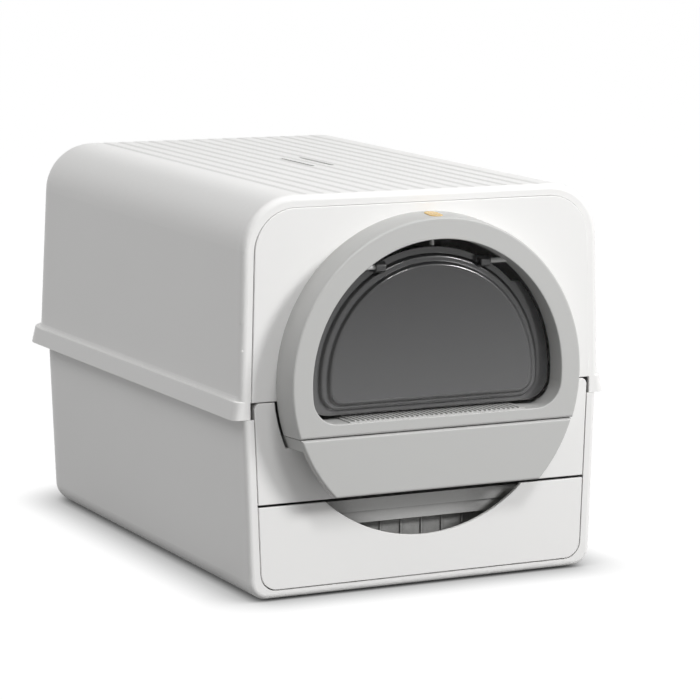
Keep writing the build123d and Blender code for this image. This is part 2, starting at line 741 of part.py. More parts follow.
hood_form = tub(
    (shelf_low, hood_half(shelf_low), hood_back(shelf_low)),
    (roof_front_z, hood_half(roof_front_z), hood_back(roof_front_z + roof_rise)),
    hood_face_y, hood_round, hood_back_round, -1, tilt=roof_angle, edge_round=hood_edge_round,
)
roof_inner_z = roof_plane(hood_inner_y, 0).origin.Z - wall / math.cos(math.radians(roof_angle))
hood_cavity = tub(
    (flange_low, hood_half(flange_low) - wall, hood_back(flange_low) - wall),
    (roof_inner_z, hood_half(roof_front_z) - wall, hood_back(roof_front_z + roof_rise) - wall),
    hood_inner_y, hood_round - wall, hood_back_round - wall, -1, tilt=roof_angle,
)
with BuildPart() as hood_shell:
    loft([flange_outline(flange_low, 0), flange_outline(flange_top, 0)], ruled=True)
    fillet(hood_shell.faces().sort_by(Axis.Z)[-1].edges().sort_by(Axis.Y)[1:], flange_edge_round)
    add(hood_form)
    loft([cove_outline(90 * step / cove_steps) for step in range(cove_steps + 1)], ruled=True)
    loft(
        [flange_outline(flange_low, flange_wall), flange_outline(shelf_low, flange_wall)],
        ruled=True, mode=Mode.SUBTRACT,
    )
    # the flange is open across the front, over the step tray
    add(slab(flange_low, hood_front_low, hood_face_y, hood_inner_y, flange_front_half), mode=Mode.SUBTRACT)
    add(hood_cavity, mode=Mode.SUBTRACT)
    # recess and holes of the front wall
    with BuildSketch(at_depth(hood_face_y)):
        add(hood_panel_outline(panel_gap))
    extrude(amount=panel_proud - panel_thickness, mode=Mode.SUBTRACT)
    with BuildSketch(at_depth(hood_face_y)):
        with Locations((0, ring_z)):
            Circle(wall_hole_radius)
        with Locations(*[(place[0], place[2]) for place in panel_screw_places]):
            Circle(panel_boss_diameter / 2 + seat_gap)
    extrude(amount=-hood_front_wall, mode=Mode.SUBTRACT)
    add(screw_holes(ring_screw_places, TO_FRONT, ring_screw_length), mode=Mode.SUBTRACT)
    # long grooves on the roof
    groove_front = front_y + groove_front_margin
    groove_back = hood_back(roof_front_z) - groove_back_margin
    groove_length = groove_back - groove_front
    roof_flat_half = hood_half(roof_front_z) - hood_round - groove_side_margin
    groove_count = 2 * int(roof_flat_half / groove_pitch) + 1
    with BuildSketch(roof_plane((groove_front + groove_back) / 2, 0)):
        with GridLocations(groove_pitch, 1, groove_count, 1):
            SlotOverall(groove_length, groove_width, rotation=90)
    extrude(amount=-groove_depth, taper=groove_taper, mode=Mode.SUBTRACT)
    # the two vent slots and the bosses of the filter's holder
    with BuildSketch(roof_plane(holder_y, 0)):
        with GridLocations(slot_spacing, 1, 2, 1):
            SlotOverall(slot_length, slot_width, rotation=90)
    extrude(amount=-2 * wall, mode=Mode.SUBTRACT)
    with BuildSketch(holder_top):
        with Locations(*lug_places):
            Circle(roof_boss_diameter / 2)
    extrude(amount=holder_drop + wall / 2)
    add(screw_holes(lug_screw_places, roof_up, screw_length), mode=Mode.SUBTRACT)
hood_shell.part.label = "hood_shell"

with BuildPart() as hood_front_panel:
    with BuildSketch(at_depth(front_y)):
        add(hood_panel_outline(0))
    extrude(amount=-panel_thickness)
    panel_edges = hood_front_panel.faces().sort_by(Axis.Y)[0].edges()
    hole_edge = panel_edges.sort_by(SortBy.LENGTH)[-1]
    fillet([edge for edge in panel_edges if edge is not hole_edge], panel_edge_round)
    with BuildSketch(at_depth(front_y + panel_thickness)):
        with Locations(*[(place[0], place[2]) for place in panel_screw_places]):
            Circle(panel_boss_diameter / 2)
    extrude(amount=panel_thickness - panel_proud - hood_front_wall)
    add(screw_holes(panel_screw_places, TO_FRONT, panel_screw_length), mode=Mode.SUBTRACT)
    add(screw_holes(ring_screw_places, TO_FRONT, ring_screw_length), mode=Mode.SUBTRACT)
hood_front_panel.part.label = "hood_front_panel"

with BuildPart() as hood_panel_screws:
    add(screws(panel_screw_places, TO_FRONT, panel_screw_length, washer_head_diameter))
hood_panel_screws.part.label = "hood_panel_screws"

# ================================================================ door ring
ring_draft = math.degrees(math.atan(ring_face_inset / ring_projection))
inlay_plane = Plane(
    origin=(0, front_y - ring_projection / 2, ring_z + ring_radius - ring_face_inset / 2),
    x_dir=(1, 0, 0),
).rotated((ring_draft, 0, 0))
pin_ring_x = sleeve_x_at_pin + pin_in_ring
with BuildPart() as door_ring:
    add(ring_cone())
    add(slab(ring_low, ring_z + 2 * ring_radius, ring_face_y, front_y), mode=Mode.INTERSECT)
    fillet(door_ring.faces().sort_by(Axis.Y)[0].edges(), ring_edge_round)
    # hollow from behind, round the sleeve of the opening
    with BuildSketch(at_depth(ring_face_y + ring_wall)):
        add(door_outline(ring_radius - ring_face_inset - ring_wall, ring_low + ring_wall, 0))
        add(door_outline(door_radius + ring_wall, sill_z - ring_wall, sill_corner_round + ring_wall),
            mode=Mode.SUBTRACT)
    extrude(amount=ring_wall - ring_projection, mode=Mode.SUBTRACT)
    with BuildSketch(at_depth(front_y)):
        add(door_outline(door_radius + ring_wall, sill_z - ring_wall, sill_corner_round + ring_wall))
    extrude(amount=-sleeve_back)
    # the wider rear part of the sleeve
    with BuildSketch(at_depth(rebate_y - ring_wall)):
        add(door_outline(rebate_radius + rebate_wall, sill_z - ring_wall, sill_corner_round + ring_wall))
    extrude(amount=rebate_y - ring_wall - sleeve_end_y)
    # screw bosses and the bosses of the flap's pins
    with BuildSketch(at_depth(front_y)):
        with Locations(*[(place[0], place[2]) for place in ring_screw_places]):
            Circle(ring_boss_diameter / 2)
    extrude(amount=ring_projection - ring_wall)
    for side in (-1, 1):
        with BuildSketch(across_pins(side, sleeve_x_at_pin)):
            Circle(pin_boss_diameter / 2)
        extrude(amount=pin_boss_length)
    # the opening, with a soft front edge and the rebate behind the pins
    with BuildSketch(at_depth(ring_face_y)):
        add(door_outline(door_radius, sill_z, sill_corner_round))
    extrude(amount=ring_face_y - sleeve_end_y, mode=Mode.SUBTRACT)
    with BuildSketch(at_depth(rebate_y)):
        add(door_outline(rebate_radius, sill_z, sill_corner_round))
    extrude(amount=rebate_y - sleeve_end_y, mode=Mode.SUBTRACT)
    fillet(door_ring.faces().sort_by(Axis.Y)[0].inner_wires()[0].edges(), door_edge_round)
    # small rib above the flap's top edge
    flap_top = ring_z + door_radius - flap_top_gap
    rib_low = flap_top + stop_rib_gap
    rib_high = ring_z + door_radius + ring_wall / 2
    add(slab(rib_low, rib_high, pin_y - stop_rib_depth / 2, pin_y + stop_rib_depth / 2, stop_rib_width / 2))
    # bores and the recess of the inlay
    for side in (-1, 1):
        with BuildSketch(across_pins(side, 0)):
            Circle(pin_diameter / 2 + seat_gap)
        extrude(amount=pin_ring_x + pin_end_gap, mode=Mode.SUBTRACT)
    add(screw_holes(ring_screw_places, TO_FRONT, ring_screw_length), mode=Mode.SUBTRACT)
    with BuildSketch(inlay_plane.offset(-inlay_depth)):
        SlotOverall(inlay_length, inlay_width, rotation=90)
    extrude(amount=2 * inlay_depth, mode=Mode.SUBTRACT)
door_ring.part.label = "door_ring"

with BuildPart() as amber_inlay:
    with BuildSketch(inlay_plane.offset(-inlay_depth)):
        SlotOverall(inlay_length - 2 * seat_gap, inlay_width - 2 * seat_gap, rotation=90)
    extrude(amount=inlay_depth + inlay_proud)
    fillet(amber_inlay.faces().sort_by(Axis.Z)[-1].edges(), inlay_proud)
amber_inlay.part.label = "amber_inlay"

# ribbed strip on the sill; its ribs run from front to back
strip_front_y = ring_face_y + strip_front_margin
strip_length = sleeve_end_y - strip_front_y
strip_middle = (0, strip_front_y + strip_length / 2)
strip_rib_count = 2 * int((strip_half_length - strip_rib_width) / strip_rib_pitch) + 1
with BuildPart() as threshold_strip:
    with BuildSketch(Plane.XY.offset(sill_z)):
        with Locations(strip_middle):
            Rectangle(2 * strip_half_length, strip_length)
    extrude(amount=strip_thickness)
    with BuildSketch(Plane.XY.offset(sill_z + strip_thickness)):
        with Locations(strip_middle):
            with GridLocations(strip_rib_pitch, 1, strip_rib_count, 1):
                Rectangle(strip_rib_width, strip_length)
    extrude(amount=strip_rib_height)
threshold_strip.part.label = "threshold_strip"

with BuildPart() as ring_retainer:
    with BuildSketch(at_depth(hood_inner_y)):
        with Locations((0, ring_z)):
            Circle(retainer_outer)
            Circle(wall_hole_radius, mode=Mode.SUBTRACT)
        with Locations((0, hood_front_low - retainer_outer)):
            Rectangle(4 * retainer_outer, 2 * retainer_outer, mode=Mode.SUBTRACT)
    extrude(amount=-retainer_thickness)
    add(screw_holes(ring_screw_places, TO_FRONT, retainer_thickness), mode=Mode.SUBTRACT)
ring_retainer.part.label = "ring_retainer"

with BuildPart() as ring_screws:
    add(screws(ring_screw_places, TO_FRONT, ring_screw_length))
ring_screws.part.label = "ring_screws"

# ================================================================ flap
flap_radius = door_radius - flap_side_gap
shoulder_z = ring_z + shoulder_height


def window_step(index, inset, shift):
    """One raised step of the window; inset and shift make its hollow side."""
    radius = flap_radius - window_inset - index * bead_inset - inset
    low = flap_low + window_foot + index * bead_foot + inset
    with BuildPart() as step:
        with BuildSketch(at_depth(flap_y + shift - index * bead_rise)):
            add(door_outline(radius, low, window_corner_round - index * bead_foot))
        extrude(amount=bead_rise, taper=bead_slope)
        if shift == 0:
            fillet(step.faces().sort_by(Axis.Y)[0].edges(), bead_edge_round)
    return step.part


with BuildPart() as flap_window:
    with BuildSketch(at_depth(flap_y)):
        add(door_outline(flap_radius, flap_low, flap_corner_round))
        with Locations((0, shoulder_z + flap_radius)):
            Rectangle(4 * flap_radius, 2 * flap_radius, mode=Mode.SUBTRACT)
        add(door_outline(door_radius - flap_top_gap, ring_z, 0))
    extrude(amount=-flap_thickness)
    for index in range(bead_steps):
        add(window_step(index, 0, 0))
    for index in range(bead_steps):
        add(window_step(index, flap_thickness, flap_thickness), mode=Mode.SUBTRACT)
    for side in (-1, 1):
        with BuildSketch(across_pins(side, flap_x_at_pin - hub_length)):
            Circle(hub_diameter / 2)
        extrude(amount=hub_length)
        with BuildSketch(across_pins(side, flap_x_at_pin - pin_in_flap)):
            Circle(pin_diameter / 2 + seat_gap)
        extrude(amount=pin_in_flap + hub_length, mode=Mode.SUBTRACT)
flap_window.part.label = "flap_window"


def flap_pin(side):
    """The hinge pin on one side: -1 is left, 1 is right."""
    start = flap_x_at_pin - pin_in_flap
    with BuildPart() as pin:
        with BuildSketch(across_pins(side, start)):
            Circle(pin_diameter / 2)
        extrude(amount=pin_ring_x - start)
    return pin.part


with BuildPart() as flap_pin_left:
    add(flap_pin(-1))
flap_pin_left.part.label = "flap_pin_left"

with BuildPart() as flap_pin_right:
    add(flap_pin(1))
flap_pin_right.part.label = "flap_pin_right"

# ================================================================ deodoriser under the roof
holder_height = holder_wall + pad_thickness + cover_thickness
holder_floor = holder_top.offset(-holder_height)
cavity_width = holder_width - 2 * holder_wall
cavity_length = holder_length - 2 * holder_wall


def air_slots(plane, thickness):
    """The row of slots that lets air through the filter."""
    with BuildPart() as slots:
        with BuildSketch(plane):
            with GridLocations(1, cover_slot_pitch, 1, cover_slot_count):
                SlotOverall(cavity_width - 2 * cover_slot_margin, cover_slot_width)
        extrude(amount=thickness)
    return slots.part


with BuildPart() as deodoriser_holder:
    with BuildSketch(holder_floor):
        RectangleRounded(holder_width, holder_length, holder_round)
    extrude(amount=holder_height)
    with BuildSketch(holder_floor.offset(holder_wall)):
        RectangleRounded(cavity_width, cavity_length, holder_round - holder_wall)
    extrude(amount=holder_height, mode=Mode.SUBTRACT)
    with BuildSketch(holder_top):
        with Locations(*lug_places):
            Rectangle(holder_lug, holder_lug)
    extrude(amount=-holder_wall)
    add(air_slots(holder_floor, holder_wall), mode=Mode.SUBTRACT)
    add(screw_holes(lug_screw_places, roof_up, screw_length), mode=Mode.SUBTRACT)
deodoriser_holder.part.label = "deodoriser_holder"

with BuildPart() as charcoal_pad:
    with BuildSketch(holder_floor.offset(holder_wall)):
        RectangleRounded(cavity_width - 2 * pad_gap, cavity_length - 2 * pad_gap, holder_round - holder_wall)
    extrude(amount=pad_thickness)
charcoal_pad.part.label = "charcoal_pad"

with BuildPart() as deodoriser_cover:
    with BuildSketch(holder_top.offset(-cover_thickness)):
        RectangleRounded(
            cavity_width - 2 * seat_gap, cavity_length - 2 * seat_gap, holder_round - holder_wall,
        )
    extrude(amount=cover_thickness)
    add(air_slots(holder_top.offset(-cover_thickness), cover_thickness), mode=Mode.SUBTRACT)
deodoriser_cover.part.label = "deodoriser_cover"

with BuildPart() as holder_screws:
    add(screws(lug_screw_places, roof_up, screw_length))
holder_screws.part.label = "holder_screws"

# ================================================================ one file for each piece
pieces = (
    base_shell, rubber_feet, litter_pan, drawer_front, drawer_screws, step_tray_front, chin_grip,
    step_grate, grate_screws, chin_screws, hood_shell, hood_front_panel, hood_panel_screws, door_ring,
    amber_inlay, threshold_strip, ring_retainer, ring_screws, flap_window, flap_pin_left,
    flap_pin_right, deodoriser_holder, charcoal_pad, deodoriser_cover, holder_screws,
)
for piece in pieces:
    export_step(piece.part, f"parts/{piece.part.label}.step")
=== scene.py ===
# %% [markdown]
# # A drawer litter box, dressed
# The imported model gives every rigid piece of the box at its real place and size. This lesson
# gives those pieces their finishes, adds the one soft piece inside, and sets a plain studio
# round them. Everything is in metres. The front of the box faces -Y and +Z is up.

# %% Load the frame
import json
import math

import bpy
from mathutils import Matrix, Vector


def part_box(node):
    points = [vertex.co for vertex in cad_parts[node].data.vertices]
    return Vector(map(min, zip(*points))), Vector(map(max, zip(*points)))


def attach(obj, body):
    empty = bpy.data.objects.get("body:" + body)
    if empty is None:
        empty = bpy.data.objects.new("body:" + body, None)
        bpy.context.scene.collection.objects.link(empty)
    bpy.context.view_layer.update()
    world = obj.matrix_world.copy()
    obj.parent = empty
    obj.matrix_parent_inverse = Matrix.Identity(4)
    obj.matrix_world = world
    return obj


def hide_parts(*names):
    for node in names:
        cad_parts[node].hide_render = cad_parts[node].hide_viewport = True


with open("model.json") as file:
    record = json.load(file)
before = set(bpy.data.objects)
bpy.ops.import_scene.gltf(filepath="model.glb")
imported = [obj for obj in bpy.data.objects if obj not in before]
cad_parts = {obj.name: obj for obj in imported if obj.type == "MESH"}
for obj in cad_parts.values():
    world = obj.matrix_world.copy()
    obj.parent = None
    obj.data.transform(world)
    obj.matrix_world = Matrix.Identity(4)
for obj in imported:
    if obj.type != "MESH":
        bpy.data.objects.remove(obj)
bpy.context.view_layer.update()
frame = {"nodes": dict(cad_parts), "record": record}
nodes = frame["nodes"]

# %% [markdown]
# ## The camera
# A product photograph is taken from far away with a long lens, so that upright lines stay
# nearly upright. The camera stands in front of the left corner of the box, a little above the
# roof, and looks down by less than nine degrees. Its place, turn and lens could be set by eye,
# but here they were fitted to the outline of the box in the photograph. A camera looks along
# its own -Z axis, so it is first tipped up to the horizon and then turned about the upright
# axis.

# %% Camera
camera_place = Vector((-1.2517, -2.7211, 0.6458))
turn_to_right = 0.4484  # radians, about the upright axis
look_down = 0.1504  # radians, below the horizon
sensor_width = 36.0  # millimetres
lens_length = 148.03  # millimetres
far_clip = 100.0  # metres

camera_data = bpy.data.cameras.new("photo_camera")
camera_data.sensor_width = sensor_width
camera_data.lens = lens_length
camera_data.clip_end = far_clip
camera = bpy.data.objects.new("photo_camera", camera_data)
camera.location = camera_place
camera.rotation_euler = (math.pi / 2 - look_down, 0.0, -turn_to_right)
bpy.context.scene.collection.objects.link(camera)
bpy.context.scene.camera = camera
print("camera lens", camera_data.lens, "mm")

# %% [markdown]
# ## Small helpers for node trees
# A material is a graph: boxes that compute something, and wires between them. Two helpers
# keep the graphs readable. The first adds a box and sets its sockets by name. The second
# joins an output to an input. Node groups get their sockets from the tree's interface.

# %% Node helpers
def add_node(tree, kind, **settings):
    """A new node; a setting is a property of the node or the name of one of its inputs."""
    node = tree.nodes.new(kind)
    for name, value in settings.items():
        if hasattr(node, name):
            setattr(node, name, value)
        else:
            node.inputs[name.replace("_", " ")].default_value = value
    return node


def wire(tree, output, target):
    tree.links.new(output, target)


def new_group(name, inputs, outputs):
    """An empty node group with its sockets; an input may have a starting value."""
    tree = bpy.data.node_groups.new(name, "ShaderNodeTree")
    for socket, kind, value in inputs:
        made = tree.interface.new_socket(socket, in_out="INPUT", socket_type=kind)
        if value is not None:
            made.default_value = value
    for socket, kind in outputs:
        tree.interface.new_socket(socket, in_out="OUTPUT", socket_type=kind)
    return tree, tree.nodes.new("NodeGroupInput"), tree.nodes.new("NodeGroupOutput")


print("helpers ready")

# %% [markdown]
# ## Grain of moulded plastic
# Steel moulds are etched, and the plastic copies the etching as a very fine pebble. It could be
# painted on, but at half a millimetre a noise pattern as a bump does it well. A second, much
# larger noise stands for the faint clouding that a big moulding has where it cooled unevenly.

# %% Grain group
FLOAT = "NodeSocketFloat"
VECTOR = "NodeSocketVector"

grain_tree, grain_in, grain_out = new_group(
    "moulded_grain",
    [("Vector", VECTOR, None), ("Grain Scale", FLOAT, 1800.0), ("Cloud Scale", FLOAT, 7.0)],
    [("Height", FLOAT), ("Clouding", FLOAT)],
)
pebbles = add_node(grain_tree, "ShaderNodeTexNoise", Detail=3.0, Roughness=0.6)
clouds = add_node(grain_tree, "ShaderNodeTexNoise", Detail=4.0, Roughness=0.55)
for texture, scale in ((pebbles, "Grain Scale"), (clouds, "Cloud Scale")):
    wire(grain_tree, grain_in.outputs["Vector"], texture.inputs["Vector"])
    wire(grain_tree, grain_in.outputs[scale], texture.inputs["Scale"])
wire(grain_tree, pebbles.outputs["Fac"], grain_out.inputs["Height"])
wire(grain_tree, clouds.outputs["Fac"], grain_out.inputs["Clouding"])
print("group", grain_tree.name)

# %% [markdown]
# ## Wear along the edges
# Hands and cloths polish the edges of a moulding first. The Bevel node gives the normal that
# an edge would have if it were rounded. Where it differs from the true normal there is an
# edge, so the mask grows as their dot product falls below one. A noise breaks the mask up,
# because wear is never an even line.

# %% Edge wear group
edge_begins = 0.995  # the dot product where wear begins
edge_full = 0.85  # and where it is complete
patch_begins = 0.4  # the noise where a worn patch begins
patch_full = 0.7

wear_tree, wear_in, wear_out = new_group(
    "edge_wear",
    [("Vector", VECTOR, None), ("Radius", FLOAT, 0.001), ("Patch Scale", FLOAT, 60.0)],
    [("Mask", FLOAT)],
)
rounded = add_node(wear_tree, "ShaderNodeBevel", samples=4)
true_normal = add_node(wear_tree, "ShaderNodeNewGeometry")
likeness = add_node(wear_tree, "ShaderNodeVectorMath", operation="DOT_PRODUCT")
edge = add_node(wear_tree, "ShaderNodeMapRange", From_Min=edge_begins, From_Max=edge_full)
patches = add_node(wear_tree, "ShaderNodeTexNoise", Detail=5.0)
patch_range = add_node(wear_tree, "ShaderNodeMapRange", From_Min=patch_begins, From_Max=patch_full)
worn = add_node(wear_tree, "ShaderNodeMath", operation="MULTIPLY", use_clamp=True)
wire(wear_tree, wear_in.outputs["Radius"], rounded.inputs["Radius"])
wire(wear_tree, rounded.outputs["Normal"], likeness.inputs[0])
wire(wear_tree, true_normal.outputs["Normal"], likeness.inputs[1])
wire(wear_tree, likeness.outputs["Value"], edge.inputs["Value"])
wire(wear_tree, wear_in.outputs["Vector"], patches.inputs["Vector"])
wire(wear_tree, wear_in.outputs["Patch Scale"], patches.inputs["Scale"])
wire(wear_tree, patches.outputs["Fac"], patch_range.inputs["Value"])
wire(wear_tree, edge.outputs["Result"], worn.inputs[0])
wire(wear_tree, patch_range.outputs["Result"], worn.inputs[1])
wire(wear_tree, worn.outputs["Value"], wear_out.inputs["Mask"])
print("group", wear_tree.name)

# %% [markdown]
# ## Painted shade in the hollows
# The pan's wall behind the half-moon came out lighter than in the photograph, and a darker
# plastic would have darkened the pan's open faces too. So shade is painted into the pan's
# hollows: behind its rim, between ribs and in corners, where little light reaches, its colour
# turns dark. The photograph shows the pan clean. The Ambient Occlusion node measures how shut
# in a point is, which makes it a mask for such places. A noise keeps the painted shade from
# ending in an even line.

# %% Painted shade group
# Painted shade: this dark colour is laid where a point is shut in.
PAINTED_SHADE_COLOUR = (0.1, 0.098, 0.094)
open_place = 0.75  # openness below which the painted shade begins
shut_place = 0.25  # openness at which the painted shade is darkest
shade_breakup_begins = 0.3
shade_breakup_full = 0.6
shade_breakup_least = 0.7

painted_shade_tree, painted_shade_in, painted_shade_out = new_group(
    "hollow_painted_shade",
    [("Vector", VECTOR, None), ("Reach", FLOAT, 0.05), ("Amount", FLOAT, 0.5)],
    [("Mask", FLOAT)],
)
openness = add_node(painted_shade_tree, "ShaderNodeAmbientOcclusion", samples=8)
shut_in = add_node(painted_shade_tree, "ShaderNodeMapRange", From_Min=open_place, From_Max=shut_place)
shade_breakup = add_node(painted_shade_tree, "ShaderNodeTexNoise", Scale=90.0, Detail=5.0)
shade_breakup_range = add_node(painted_shade_tree, "ShaderNodeMapRange", From_Min=shade_breakup_begins, From_Max=shade_breakup_full,
                       To_Min=shade_breakup_least)
patchy_shade = add_node(painted_shade_tree, "ShaderNodeMath", operation="MULTIPLY")
limited = add_node(painted_shade_tree, "ShaderNodeMath", operation="MULTIPLY", use_clamp=True)
wire(painted_shade_tree, painted_shade_in.outputs["Reach"], openness.inputs["Distance"])
wire(painted_shade_tree, openness.outputs["AO"], shut_in.inputs["Value"])
wire(painted_shade_tree, painted_shade_in.outputs["Vector"], shade_breakup.inputs["Vector"])
wire(painted_shade_tree, shade_breakup.outputs["Fac"], shade_breakup_range.inputs["Value"])
wire(painted_shade_tree, shut_in.outputs["Result"], patchy_shade.inputs[0])
wire(painted_shade_tree, shade_breakup_range.outputs["Result"], patchy_shade.inputs[1])
wire(painted_shade_tree, patchy_shade.outputs["Value"], limited.inputs[0])
wire(painted_shade_tree, painted_shade_in.outputs["Amount"], limited.inputs[1])
wire(painted_shade_tree, limited.outputs["Value"], painted_shade_out.inputs["Mask"])
print("group", painted_shade_tree.name)

# %% [markdown]
# ## Moulded plastics
# The white shells, the light grey door ring, the pan and the pins are the same kind of thing
# in other colours: a plastic body with a fine grain. Each could have a graph of its own, but
# one function that builds them all keeps them alike. The clouding shifts the colour and the
# gloss a little, wear polishes the edges, and the grain feeds a bump. Only the pan gets painted shade
# in its hollows.

# %% Plastic helpers
MIX_FACTOR, MIX_FIRST, MIX_SECOND = 0, 6, 7  # input sockets of a Mix node set to colours
MIX_RESULT = 2  # its output socket


def start_material(name):
    """A material with only its output, its shader and Object coordinates."""
    material = bpy.data.materials.new(name)
    material.use_nodes = True
    tree = material.node_tree
    tree.nodes.clear()
    output = tree.nodes.new("ShaderNodeOutputMaterial")
    shader = tree.nodes.new("ShaderNodeBsdfPrincipled")
    place = tree.nodes.new("ShaderNodeTexCoord")
    wire(tree, shader.outputs["BSDF"], output.inputs["Surface"])
    return material, tree, shader, place.outputs["Object"]


def use_group(tree, group, place, **values):
    """A node group in a material, reading Object coordinates."""
    node = tree.nodes.new("ShaderNodeGroup")
    node.node_tree = group
    wire(tree, place, node.inputs["Vector"])
    for name, value in values.items():
        node.inputs[name.replace("_", " ")].default_value = value
    return node


def mix_colours(tree, mask, first, second):
    """A colour between two others, by a mask."""
    mix = add_node(tree, "ShaderNodeMix", data_type="RGBA")
    for socket, colour in ((MIX_FIRST, first), (MIX_SECOND, second)):
        if isinstance(colour, tuple):
            mix.inputs[socket].default_value = (*colour, 1.0)
        else:
            wire(tree, colour, mix.inputs[socket])
    wire(tree, mask, mix.inputs[MIX_FACTOR])
    return mix.outputs[MIX_RESULT]


def shade(colour, amount):
    """A colour made lighter or darker by a factor."""
    return tuple(channel * amount for channel in colour)


print("plastic helpers ready")

# %% Plastic material
NOISE_LOW, NOISE_HIGH = 0.3, 0.7  # a noise seldom goes beyond these
CLOUD_DARK, CLOUD_LIGHT = 0.985, 1.015  # the darkest and the lightest clouding
EDGE_LIGHT = 1.04  # a worn edge against the rest
GLOSS_SWING = 0.03  # how far the clouding shifts the roughness
GRAIN_STRENGTH = 0.35


def moulded_plastic(name, colour, roughness, grain_scale, grain_depth, worn_shine=0.12, shade_in_hollows=0.0):
    """A moulded plastic: clouded colour, grained surface, polished edges, painted shade in its hollows.
    """
    material, tree, shader, place = start_material(name)
    grain = use_group(tree, grain_tree, place, Grain_Scale=grain_scale)
    wear = use_group(tree, wear_tree, place)
    clouded = mix_colours(tree, grain.outputs["Clouding"],
                          shade(colour, CLOUD_DARK), shade(colour, CLOUD_LIGHT))
    coloured = mix_colours(tree, wear.outputs["Mask"], clouded, shade(colour, EDGE_LIGHT))
    # Painted shade: where a point is shut in, the colour turns dark.
    if shade_in_hollows > 0.0:
        hollow_shade = use_group(tree, painted_shade_tree, place, Amount=shade_in_hollows)
        coloured = mix_colours(tree, hollow_shade.outputs["Mask"], coloured, PAINTED_SHADE_COLOUR)
    wire(tree, coloured, shader.inputs["Base Color"])
    dull = add_node(tree, "ShaderNodeMapRange", From_Min=NOISE_LOW, From_Max=NOISE_HIGH,
                    To_Min=roughness - GLOSS_SWING, To_Max=roughness + GLOSS_SWING)
    wire(tree, grain.outputs["Clouding"], dull.inputs["Value"])
    polish = add_node(tree, "ShaderNodeMath", operation="MULTIPLY_ADD")
    polish.inputs[1].default_value = -worn_shine
    wire(tree, wear.outputs["Mask"], polish.inputs[0])
    wire(tree, dull.outputs["Result"], polish.inputs[2])
    wire(tree, polish.outputs["Value"], shader.inputs["Roughness"])
    bump = add_node(tree, "ShaderNodeBump", Strength=GRAIN_STRENGTH, Distance=grain_depth)
    wire(tree, grain.outputs["Height"], bump.inputs["Height"])
    wire(tree, bump.outputs["Normal"], shader.inputs["Normal"])
    return material


white_shell = moulded_plastic(
    "white_shell", colour=(0.865, 0.86, 0.85), roughness=0.45, grain_scale=1500.0, grain_depth=0.00006,
)
ring_plastic = moulded_plastic(
    "ring_plastic", colour=(0.52, 0.52, 0.51), roughness=0.55, grain_scale=1900.0, grain_depth=0.00008,
)
# The pan gets painted shade in its hollows.
pan_plastic = moulded_plastic(
    "pan_plastic", colour=(0.66, 0.66, 0.65), roughness=0.48, grain_scale=1300.0, grain_depth=0.00006,
    shade_in_hollows=0.85,
)
pin_plastic = moulded_plastic(
    "pin_plastic", colour=(0.68, 0.68, 0.67), roughness=0.35, grain_scale=2400.0, grain_depth=0.00003,
)
print("plastics:", white_shell.name, ring_plastic.name, pan_plastic.name, pin_plastic.name)

# %% [markdown]
# ## The smoked window
# The flap is clear plastic with a smoke tint. Light goes through it, so the shader gets a
# dark colour and most of its transmission. Shade is painted into that colour: it is darkest
# at the top and lighter towards the sill, by a ramp along the object's own Z axis. A large,
# faint noise lets the polish vary a little, as a wiped window does, and the Bevel node softens
# the edges of the raised steps for the light only.

# %% Window material
window_low_z, window_high_z = (corner.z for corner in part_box("flap_window"))
# The smoke tint, with painted shade: darkest at the top, lighter at the sill.
tint_painted_dark_top = (0.05, 0.05, 0.052)
tint_painted_light_sill = (0.3, 0.3, 0.303)
polished, smeared = 0.2, 0.26  # the least and the most roughness
step_softness = 0.0016  # metres

smoke_window, tree, shader, place = start_material("smoke_window")
shader.inputs["Transmission Weight"].default_value = 0.75
shader.inputs["IOR"].default_value = 1.45
shader.inputs["Coat Weight"].default_value = 0.6
shader.inputs["Coat Roughness"].default_value = 0.03
wiped = use_group(tree, grain_tree, place, Cloud_Scale=9.0)
split = add_node(tree, "ShaderNodeSeparateXYZ")
wire(tree, place, split.inputs[0])
# Painted shade: the colour darkens from the sill to the top.
ramp = add_node(tree, "ShaderNodeMapRange", From_Min=window_low_z, From_Max=window_high_z)
wire(tree, split.outputs["Z"], ramp.inputs["Value"])
wire(tree, mix_colours(tree, ramp.outputs["Result"], tint_painted_light_sill, tint_painted_dark_top), shader.inputs["Base Color"])
gloss = add_node(tree, "ShaderNodeMapRange", From_Min=NOISE_LOW, From_Max=NOISE_HIGH,
                 To_Min=polished, To_Max=smeared)
wire(tree, wiped.outputs["Clouding"], gloss.inputs["Value"])
wire(tree, gloss.outputs["Result"], shader.inputs["Roughness"])
soft_edge = add_node(tree, "ShaderNodeBevel", samples=8, Radius=step_softness)
wire(tree, soft_edge.outputs["Normal"], shader.inputs["Normal"])
print("window from", round(window_low_z, 3), "to", round(window_high_z, 3), "m")

# %% [markdown]
# ## Amber, rubber, felt and steel
# The inlay on the ring is a drop of translucent amber plastic, so light scatters inside it.
# The feet are soft black rubber with a fine tooth. The screws are plated steel with a fine
# speckle. The filter is felt, whose fibres lie in all directions and catch a little sheen.
# They could have four graphs, but all of them vary finely from point to point, so one function
# makes them from the same noise at different scales.

# %% Speckled material
CLOUD_RATIO = 12  # a cloud is this many times as wide as a speck
FINE_EDGE = 0.0005  # metres, the width of wear on a small piece
FINE_PATCHES = 300.0
SPECK_WORN = 1.2  # a worn edge against the lighter colour
SPECK_POLISHED, SPECK_DULL = 0.85, 1.15  # factors on the roughness
SPECK_STRENGTH = 0.5


